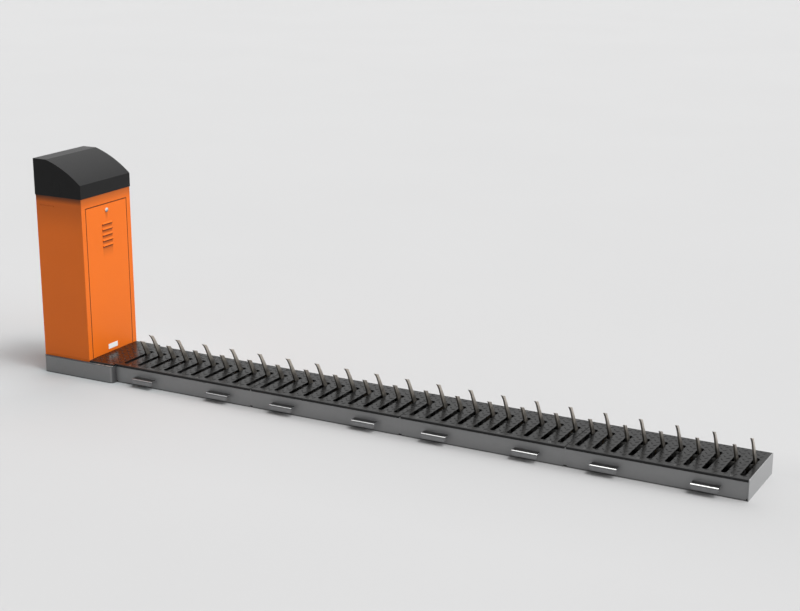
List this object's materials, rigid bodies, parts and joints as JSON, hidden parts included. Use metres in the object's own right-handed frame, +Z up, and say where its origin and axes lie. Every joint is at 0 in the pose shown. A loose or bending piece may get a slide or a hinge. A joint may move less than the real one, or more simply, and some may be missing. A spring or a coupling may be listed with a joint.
{
  "type": "tyre spike strip",
  "caption": "Slotted black strip on galvanised trays with hooked steel claws that swing down through the slots, driven from an orange cabinet with a curved hood.",
  "frame": {"origin": "on the ground in the strip's middle plane, where the module pitch of the strip starts beside the base", "axes": "+X along the strip towards its free end, +Y away from the approach side that the claws lean to, +Z up"},
  "size_m": [4.5348, 0.5154, 1.3625],
  "materials": {
    "galvanised": "hot-dip galvanised sheet, satin with a faint spangle",
    "black_chequer": "semi-gloss black paint over raised chequer tread",
    "bright_steel": "turned steel, lightly oiled",
    "claw_steel": "bare warm grey steel, satin",
    "bronze": "plain bearing bronze",
    "dark_steel": "dark oiled steel",
    "zinc_fasteners": "zinc plated",
    "machine_paint": "blue-grey machine enamel, satin",
    "black_plastic": "matt black plastic",
    "orange_paint": "orange powder coat, semi-gloss",
    "hood_black": "black moulded shell, satin",
    "label_white": "bare white plate",
    "lock_chrome": "polished chrome",
    "enclosure_grey": "light grey enclosure paint"
  },
  "bodies": {
    "frame": {"tray_1": "galvanised", "tray_2": "galvanised", "tray_3": "galvanised", "tray_4": "galvanised", "ribs_1": "galvanised", "ribs_2": "galvanised", "ribs_3": "galvanised", "ribs_4": "galvanised", "cover_1": "black_chequer", "cover_2": "black_chequer", "cover_3": "black_chequer", "cover_4": "black_chequer", "shaft_bushings": "bronze", "cover_screws": "zinc_fasteners", "frame_bolts": "zinc_fasteners", "end_plate": "galvanised", "lugs_front": "galvanised", "lugs_back": "galvanised", "base_floor": "galvanised", "base_walls": "galvanised", "base_top": "galvanised", "base_cover": "black_chequer", "base_bearings": "machine_paint", "drive_bracket": "galvanised", "gearbox": "machine_paint", "motor": "machine_paint", "motor_fan_cowl": "black_plastic", "cabinet_back": "orange_paint", "cabinet_side_near": "orange_paint", "cabinet_side_far": "orange_paint", "cabinet_front": "orange_paint", "hood": "hood_black", "hood_plug": "hood_black", "hood_screws": "zinc_fasteners", "control_box": "enclosure_grey", "control_lid": "enclosure_grey", "cable_glands": "black_plastic"},
    "claw_shaft": {"shaft_1": "bright_steel", "shaft_2": "bright_steel", "shaft_3": "bright_steel", "shaft_4": "bright_steel", "claws_short_1": "claw_steel", "claws_short_2": "claw_steel", "claws_short_3": "claw_steel", "claws_short_4": "claw_steel", "claws_tall_1": "claw_steel", "claws_tall_2": "claw_steel", "claws_tall_3": "claw_steel", "claws_tall_4": "claw_steel", "drive_shaft": "bright_steel", "couplings": "dark_steel", "lever": "dark_steel"},
    "crank": {"crank": "dark_steel", "output_shaft": "bright_steel"},
    "rod": {"rod": "dark_steel"},
    "door": {"door": "orange_paint", "label_plate": "label_white", "lock_barrel": "lock_chrome"},
    "lock": {"lock_plug": "lock_chrome", "lock_cam": "zinc_fasteners"}
  },
  "joints": [
    {"name": "claw_shaft_turn", "type": "hinge", "parent": "frame", "child": "claw_shaft", "pos_m": [0, 0.083, 0.063], "axis": [1, 0, 0], "range_deg": [0, 58]},
    {"name": "crank_turn", "type": "hinge", "parent": "frame", "child": "crank", "pos_m": [-0.25, 0.083, 0.43], "axis": [1, 0, 0], "range_deg": [0, 58]},
    {"name": "rod_swing", "type": "hinge", "parent": "crank", "child": "rod", "pos_m": [-0.235, 0.02178, 0.46394], "axis": [1, 0, 0], "range_deg": [-58, 0]},
    {"name": "door_tilt", "type": "hinge", "parent": "frame", "child": "door", "pos_m": [-0.1916, 0, 0.1465], "axis": [0, 1, 0], "range_deg": [0, 40]},
    {"name": "lock_turn", "type": "hinge", "parent": "door", "child": "lock", "pos_m": [-0.1816, 0, 1.0305], "axis": [1, 0, 0], "range_deg": [0, 90]}
  ],
  "couplings": [
    {"joint": "crank_turn", "follows": "claw_shaft_turn", "ratio": 1},
    {"joint": "rod_swing", "follows": "claw_shaft_turn", "ratio": -1}
  ]
}
